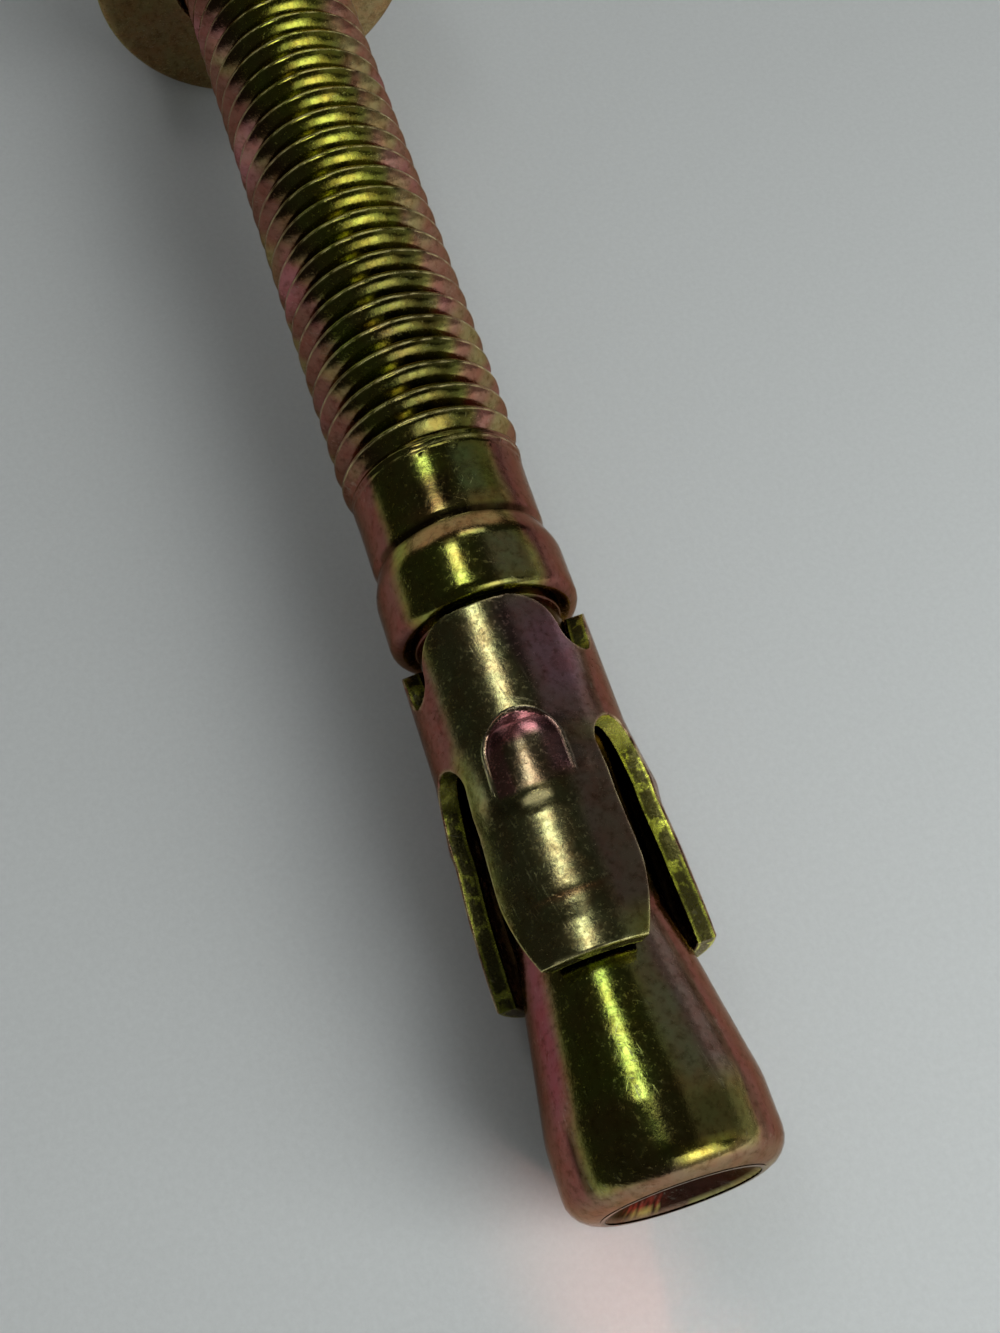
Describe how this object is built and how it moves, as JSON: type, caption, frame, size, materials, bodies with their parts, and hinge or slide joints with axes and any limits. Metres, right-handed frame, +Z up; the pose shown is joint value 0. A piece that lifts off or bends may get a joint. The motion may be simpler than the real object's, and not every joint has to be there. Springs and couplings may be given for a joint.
{
  "type": "wedge anchor",
  "caption": "Expansion stud for concrete: threaded rod with a collar and cone, a slotted sheet clip round its neck, a flat washer and a hexagon nut.",
  "frame": {"origin": "centre of the bounding box's bottom, on the table that it lies on", "axes": "+Y runs from the cone end towards the thread end, level with the table; +Z is up. The stud's own axis rises from the cone end by the tilt that its washer gives it."},
  "size_m": [0.02, 0.0954, 0.0202],
  "materials": {
    "stud_plating": "yellow chromate over bright zinc, glossy, olive gold with green and pink tints, fine scratches",
    "clip_plating": "yellow chromate over bright zinc, glossy, olive gold with green and pink tints, fine scratches",
    "washer_plating": "yellow chromate over bright zinc, glossy, olive gold with green and pink tints, fine scratches",
    "nut_plating": "yellow chromate over bright zinc, glossy, olive gold with green and pink tints, fine scratches"
  },
  "bodies": {
    "stud": {"stud": "stud_plating"},
    "expansion_clip": {"expansion_clip": "clip_plating"},
    "washer": {"washer": "washer_plating"},
    "nut": {"nut": "nut_plating"}
  },
  "joints": [
    {"name": "nut_turn", "type": "hinge", "parent": "washer", "child": "nut", "pos_m": [0, 0.03153, 0.01009], "axis": [0, 0.9979, 0.0641], "range_deg": [-9720, 1800]},
    {"name": "nut_travel", "type": "slide", "parent": "stud", "child": "washer", "axis": [0, 0.9979, 0.0641], "range_m": [-0.04051, 0.00751]},
    {"name": "clip_slide", "type": "slide", "parent": "stud", "child": "expansion_clip", "axis": [0, 0.9979, 0.0641], "range_m": [-0.0015, 0.0004]}
  ],
  "couplings": [
    {"joint": "nut_travel", "follows": "nut_turn", "m_per_rad": 0.00023873}
  ]
}
